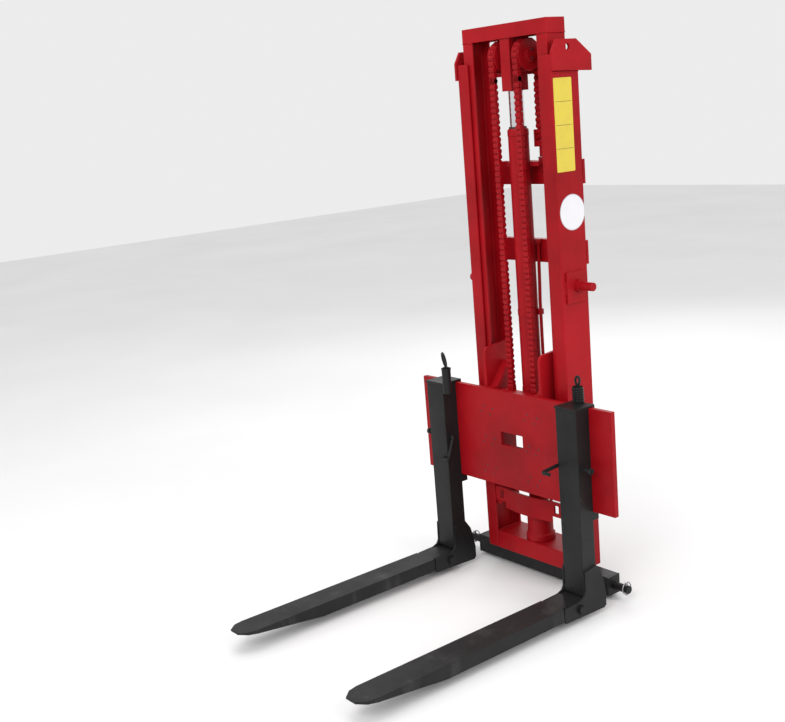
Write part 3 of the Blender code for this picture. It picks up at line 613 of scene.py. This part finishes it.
# beads along the seams, worked out from the corners of the nodes they join
def buildWelds():
    v = weldValues
    earLow = cornersOf("ear_right")[0]
    postLow, postHigh = cornersOf("outer_upright_right")
    face = postHigh[0]
    under = earLow[2]
    ears = [[(face, earLow[1] + 0.006, under), (face, postHigh[1], under)],
            [(face + 0.001, postLow[1] + 0.004, postHigh[2]),
             (face + 0.001, postHigh[1] - 0.004, postHigh[2])]]
    plateLow, plateHigh = cornersOf("side_pin_right")
    y0, y1, z0, z1 = plateLow[1], plateHigh[1], plateLow[2], plateHigh[2]
    pads = [[(face, y0 + 0.003, z1), (face, y1 - 0.003, z1)],
            [(face, y0 + 0.003, z0), (face, y1 - 0.003, z0)],
            [(face, y0, z0 + v["padCorner"]), (face, y0, z1 - v["padCorner"])]]
    baseLow, baseHigh = cornersOf("base_section")
    bx, bz = baseHigh[0], baseHigh[2]
    base = [[(bx, baseLow[1], 0.004), (bx, baseLow[1], bz)], [(bx, baseLow[1], bz), (bx, baseHigh[1], bz)]]
    beams = []
    for node in ("cross_beam_lower", "cross_beam_upper"):
        low, high = cornersOf(node)
        for z in (low[2], high[2]):
            beams.append([(face - 0.045, postHigh[1], z), (face - 0.004, postHigh[1], z)])
    addWeld("mast_weld", "outer_mast", paintRed, bothSides(ears + pads + base + beams))
    innerLow, innerHigh = cornersOf("inner_upright_right")
    x0, x1, top = innerLow[0], innerHigh[0], innerHigh[2]
    beam = [[(x0, innerLow[1], top), (postLow[0] - 0.002, innerLow[1], top)],
            [(x1, innerLow[1], top), (x1, innerHigh[1], top)],
            [(x0, innerHigh[1], top), (x1, innerHigh[1], top)]]
    crossLow, crossHigh = cornersOf("crosshead")
    beam.append([(crossHigh[0], crossLow[1], top), (crossHigh[0], crossHigh[1], top)])
    rearLow, rearHigh = cornersOf("inner_rear_plate")
    beam += [[(x0 + 0.004, innerHigh[1], z), (rearHigh[0], innerHigh[1], z)]
             for z in (rearLow[2], rearHigh[2])]
    addWeld("inner_weld", "inner_mast", paintRed, bothSides(beam))
    cheekLow, cheekHigh = cornersOf("carriage_cheek_right")
    platedHigh = cornersOf("carriage_plate")[1]
    rear, topZ = platedHigh[1], platedHigh[2]
    barLow, barHigh = cornersOf("carriage_cross_bar")
    outer = cheekHigh[0] - 0.0445
    cheek = [[(outer, rear, cheekLow[2] + 0.025), (outer, rear, topZ)],
             [(cheekLow[0], rear, cheekLow[2] + 0.025), (cheekLow[0], rear, barLow[2])],
             [(0.0, rear, barHigh[2]), (barHigh[0] - 0.032, rear, barHigh[2])]]
    lines = bothSides(cheek[:2]) + [cheek[2], mirrored(cheek[2])]
    addWeld("carriage_weld", "carriage", paintRed, lines)
    half, front, cap = v["forkHalf"], v["forkFront"], v["capUnder"]
    for label in ("left", "right"):
        bladeLow, bladeHigh = cornersOf("fork_blade_" + label)
        middle = (bladeLow[0] + bladeHigh[0]) / 2
        lines = []
        for side in (-1, 1):
            x = middle + side * (half + 0.0005)
            lines += [[(x, front + 0.004, v["heelTop"]), (x, v["seatFront"], v["heelTop"] + v["heelRise"])],
                      [(x, front - 0.001, v["heelLow"]), (x, front - 0.001, v["heelHigh"])],
                      [(middle + side * half, front + 0.003, cap), (middle + side * half, v["capRear"], cap)]]
        lines.append([(middle - half, front, cap), (middle + half, front, cap)])
        lines.append([(middle - half, v["heelRear"], 0.0005), (middle + half, v["heelRear"], 0.0005)])
        addWeld("fork_weld_" + label, "fork_" + label, paintDark, lines, v["forkRadius"])


buildWelds()
print("welds")


# films, holes and small hardware

filmValues = {"thick": 0.0004, "lift": 0.0003, "yellowY": (-0.058, 0.026), "yellowZ": (1.380, 1.677),
              "discY": 0.003, "discZ": 1.247, "discRadius": 0.059}
holeValues = {"radius": 0.0036, "deep": 0.0008, "groupX": (-0.117, 0.100), "groupZ": (0.553, 0.441, 0.330),
              "spread": (0.022, 0.011), "lean": 0.007}


# a rectangle whose corners are quarter circles
def roundedOutline(wide, tall, radius, steps=6):
    angle = np.linspace(0, np.pi / 2, steps)
    arc = np.stack([np.cos(angle), np.sin(angle)], axis=1) * radius
    turns = [(1, 1), (-1, 1), (-1, -1), (1, -1)]
    parts = []
    for index, (sx, sy) in enumerate(turns):
        turn = index * np.pi / 2
        spun = np.stack([arc[:, 0] * np.cos(turn) - arc[:, 1] * np.sin(turn),
                         arc[:, 0] * np.sin(turn) + arc[:, 1] * np.cos(turn)], axis=1)
        parts.append(spun + [sx * (wide / 2 - radius), sy * (tall / 2 - radius)])
    return np.concatenate(parts)


# films lie on the right upright's outer face: local x is the height and local y the depth
def filmAt(name, outline, y, z, level, material):
    v = filmValues
    rings = prismRings(outline, np.array([0.0, v["thick"]]), np.array([1.0, 1.0]))
    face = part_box("outer_upright_right")[1][0] + v["lift"] + level * 0.0003
    rings = np.stack([rings[..., 2] + face, rings[..., 1] + y, rings[..., 0] + z], axis=-1)
    addRider(loftMesh(name, rings, material, 30), "outer_mast")


# a yellow strip with three dividing lines, and a white disc with a grey rim
def buildFilms():
    v = filmValues
    (y0, y1), (z0, z1) = v["yellowY"], v["yellowZ"]
    tall, wide = z1 - z0, y1 - y0
    filmAt("yellow_strip", roundedOutline(tall, wide, 0.004), (y0 + y1) / 2, (z0 + z1) / 2, 0, yellowFilm)
    for index in (1, 2, 3):
        line = roundedOutline(0.0011, wide - 0.010, 0.0005, 3)
        filmAt(f"strip_line_{index}", line, (y0 + y1) / 2, z0 + tall * index / 4, 1, darkFilm)
    filmAt("disc_rim", circleOutline(v["discRadius"], 64), v["discY"], v["discZ"], 0, rimFilm)
    filmAt("white_disc", circleOutline(v["discRadius"] * 0.955, 64), v["discY"], v["discZ"], 1, whiteFilm)


# drilled holes are dark discs of painted shade, just proud of the carriage plate's face, four to a group
def buildHoles():
    v = holeValues
    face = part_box("carriage_plate")[0][1]
    y = face - v["deep"] * 0.2
    places = [(x + sx * v["spread"][0] + sz * v["lean"], y, z + sz * v["spread"][1] - sx * v["lean"] * 0.4)
              for x in v["groupX"] for z in v["groupZ"] for sx in (-1, 1) for sz in (-1, 1)]
    disc = chamferedPrism(circleOutline(v["radius"], 16), v["deep"], 0.0003)
    discs = placeRings(disc, places, (0, 1, 0))
    addRider(loftMesh("plate_holes", discs, paintedHoleShade, 30), "carriage")


keeperValues = {"radius": 0.0225, "thick": 0.0045, "proud": 0.0005, "boltRadius": 0.0046, "boltThick": 0.0045,
                "boltProud": 0.0040, "boltReach": 0.0135}
linchValues = {"fromTip": 0.0113, "y": 0.010, "pinRadius": 0.0048, "pinLong": 0.046, "pinRise": 0.002,
               "ringRadius": 0.021, "ringWire": 0.0019, "ringRise": 0.004,
               "ringGap": 0.25}              # angle left open on each side of the ring's top, in radians
stubValues = {"inner": 0.0146, "outer": 0.0215, "wide": 0.012, "fromFace": 0.0130, "y": 0.009, "z": 1.003}
pipeValues = {"bands": (0.30, 0.62, 0.90), "bandTall": 0.020, "bandProud": 0.0016, "bandDeep": 0.0005,
              "clampSide": 0.018, "clampX": 0.0415, "clampY": 0.0118,
              "wiperInner": 0.0255, "wiperOuter": 0.0300, "wiperTall": 0.006, "wiperRise": 0.0028}
anchorValues = {"pinRadius": 0.0042, "pinLong": 0.046, "pinRise": 0.0110,
                "washerInner": 0.0063, "washerOuter": 0.0128, "washerThick": 0.0022, "washerRise": 0.0125}


# turns a solid to the axis, puts it at the places and lets it ride on the body
def addSolid(name, rings, places, axis, material, body, smoothAngle=30):
    return addRider(loftMesh(name, placeRings(rings, places, axis), material, smoothAngle), body)


# keeper discs close the pulley axle's ends, each with two bolt heads
def buildKeepers():
    v = keeperValues
    low, high = cornersOf("pulley_axle")
    y, z, reach = (low[1] + high[1]) / 2, (low[2] + high[2]) / 2, high[0]
    disc = chamferedPrism(circleOutline(v["radius"], 40), v["thick"], 0.0008)
    bolt = chamferedPrism(circleOutline(v["boltRadius"], 6), v["boltThick"], 0.0007)
    for label, side in (("left", -1), ("right", 1)):
        x = side * (reach + v["proud"])
        addSolid("axle_keeper_" + label, disc, (x, y, z), (1, 0, 0), paintRed, "inner_mast")
        places = [(x + side * v["boltProud"], y, z + dz) for dz in (-v["boltReach"], v["boltReach"])]
        # the bolt heads take the dark red of the painted hole shade
        addSolid("keeper_bolts_" + label, bolt, places, (1, 0, 0), paintedHoleShade, "inner_mast", 25)


# a spring pin through each lower link pin, with a ring that stands round the pin's end
def buildLinchPins():
    v = linchValues
    for label, side in (("left", -1), ("right", 1)):
        low, high = cornersOf("link_pin_" + label)
        tip = high[0] if side > 0 else low[0]
        x, y, z = tip - side * v["fromTip"], v["y"], (low[2] + high[2]) / 2
        pin = chamferedPrism(circleOutline(v["pinRadius"], 18), v["pinLong"], 0.0010)
        addSolid("linch_pin_" + label, pin, (x, y, z + v["pinRise"]), (0, 0, 1), turnedSteel,
                 "outer_mast")
        angle = np.linspace(v["ringGap"], 2 * np.pi - v["ringGap"], 40)
        ring = np.stack([np.full(len(angle), x), y + v["ringRadius"] * np.sin(angle),
                         z + v["ringRise"] + v["ringRadius"] * np.cos(angle)], axis=1)
        ring = sweepRings(ring, v["ringWire"], 8, up=(1, 0, 0))
        addRider(loftMesh("linch_ring_" + label, ring, turnedSteel), "outer_mast")


# collars round the side stubs, which stand off the outer mast's side faces
def buildCollars():
    v = stubValues
    collar = ringSolid(v["inner"], v["outer"], v["wide"], 36)
    for label, side in (("left", -1), ("right", 1)):
        x = side * (cornersOf("outer_upright_right")[1][0] + v["fromFace"])
        addSolid("stub_collar_" + label, collar, (x, v["y"], v["z"]), (1, 0, 0), paintRed,
                 "outer_mast")


# bands round the cylinder that hold the feed pipe in clamp blocks, and the rod's wiper
def buildPipeHolders():
    v = pipeValues
    tubeLow, tubeHigh = cornersOf("cylinder_tube")
    middle, radius = (tubeLow + tubeHigh)[:2] / 2, (tubeHigh[0] - tubeLow[0]) / 2
    band = ringSolid(radius - v["bandDeep"], radius + v["bandProud"], v["bandTall"], 48)
    block = chamferedPrism(roundedOutline(v["clampSide"], v["clampSide"], 0.003), v["bandTall"], 0.0012)
    for index, z in enumerate(v["bands"]):
        addSolid(f"pipe_band_{index}", band, (*middle, z), (0, 0, 1), paintRed, "outer_mast")
        addSolid(f"pipe_clamp_{index}", block, (v["clampX"], v["clampY"], z), (0, 0, 1), paintRed,
                 "outer_mast")
    wiper = ringSolid(v["wiperInner"], v["wiperOuter"], v["wiperTall"], 48)
    glandTop = cornersOf("cylinder_gland")[1][2]
    addSolid("rod_wiper", wiper, (*middle, glandTop + v["wiperRise"]), (0, 0, 1), rubberBlack,
             "outer_mast")


# the pin through each chain anchor's clevis, and the washer under its nut
def buildAnchors():
    v = anchorValues
    pin = chamferedPrism(circleOutline(v["pinRadius"], 18), v["pinLong"], 0.0008)
    washer = ringSolid(v["washerInner"], v["washerOuter"], v["washerThick"], 28)
    top = cornersOf("cross_beam_upper")[1][2]
    for label in ("left", "right"):
        low, high = cornersOf("chain_anchor_" + label)
        x, y = ((low + high) / 2)[:2]
        z = cornersOf("chain_rear_" + label)[0][2] + v["pinRise"]
        addSolid("anchor_pin_" + label, pin, (x, y, z), (1, 0, 0), turnedSteel, "outer_mast")
        addSolid("anchor_washer_" + label, washer, (x, y, top + v["washerRise"]), (0, 0, 1), turnedSteel,
                 "outer_mast")


buildFilms()
buildHoles()
buildKeepers()
buildLinchPins()
buildCollars()
buildPipeHolders()
buildAnchors()
print("films and hardware")


# camera, light and floor

viewValues = {
    "place": (2.783, -2.7656, 1.6143), "azimuth": 52.362, "down": 12.333, "roll": -4.813,
    "lens": 52.0629, "sensor": 36.0,         # in millimetres
}
stageValues = {
    "floorHalf": 14.0, "floorGap": 0.012, "worldStrength": 0.84,
    "lights": {                      # place, target, size and power
        "key": ((2.2, -4.4, 3.6), (0, -0.2, 0.7), (2.2, 2.2), 95),
        "side": ((4.6, 0.6, 2.6), (0, 0, 0.9), (2.4, 2.4), 70),
        "top": ((0, -0.8, 4.6), (0, -0.3, 0.5), (3.0, 3.0), 55),
        "back": ((-2.4, 3.6, 3.0), (0, 0, 0.9), (2.4, 2.4), 45),
    },
}


# the camera looks along azimuth and down; roll then turns its right and up directions
def addCamera():
    azimuth, down, roll = (math.radians(viewValues[key]) for key in ("azimuth", "down", "roll"))
    ahead = Vector((-math.sin(azimuth) * math.cos(down), math.cos(azimuth) * math.cos(down), -math.sin(down)))
    right = ahead.cross(Vector((0, 0, 1))).normalized()
    up = right.cross(ahead)
    turnedRight = right * math.cos(roll) + up * math.sin(roll)
    turnedUp = up * math.cos(roll) - right * math.sin(roll)
    data = bpy.data.cameras.new("camera")
    data.sensor_width = viewValues["sensor"]
    data.lens = viewValues["lens"]
    data.clip_start = 0.05
    camera = bpy.data.objects.new("camera", data)
    matrix = Matrix((turnedRight, turnedUp, -ahead)).transposed().to_4x4()
    matrix.translation = viewValues["place"]
    camera.matrix_world = matrix
    bpy.context.scene.collection.objects.link(camera)
    bpy.context.scene.camera = camera


# a rectangular light at the place, turned to face the target
def addArea(name, place, target, size, power):
    data = bpy.data.lights.new(name, "AREA")
    data.shape = "RECTANGLE"
    data.size, data.size_y = size
    data.energy = power
    light = bpy.data.objects.new(name, data)
    light.location = place
    light.rotation_euler = (Vector(target) - Vector(place)).to_track_quat("-Z", "Y").to_euler()
    bpy.context.scene.collection.objects.link(light)


# a pale floor just below the part, a white world and the lights
def addStage():
    v = stageValues
    bm = bmesh.new()
    bmesh.ops.create_grid(bm, x_segments=8, y_segments=8, size=v["floorHalf"])
    mesh = bpy.data.meshes.new("floor")
    bm.to_mesh(mesh)
    bm.free()
    mesh.transform(Matrix.Translation((0, 0, cadBounds[0][2] - v["floorGap"])))
    material, tree, shader = newMaterial("pale floor")
    tone = rampOn(tree, noiseOn(tree, 0.8, 3.0, 0.5), [(0.3, grey(0.80)), (0.7, grey(0.84))])
    tree.links.new(tone, shader.inputs["Base Color"])
    shader.inputs["Roughness"].default_value = 0.9
    mesh.materials.append(material)
    floor = bpy.data.objects.new("floor", mesh)
    bpy.context.scene.collection.objects.link(floor)
    world = bpy.data.worlds.new("studio")
    world.use_nodes = True
    world.node_tree.nodes["Background"].inputs["Color"].default_value = (1.0, 1.0, 1.0, 1)
    world.node_tree.nodes["Background"].inputs["Strength"].default_value = v["worldStrength"]
    bpy.context.scene.world = world
    bpy.context.scene.view_settings.view_transform = "Standard"
    for name, values in v["lights"].items():
        addArea(name, *values)


addCamera()
addStage()
print("camera and light")
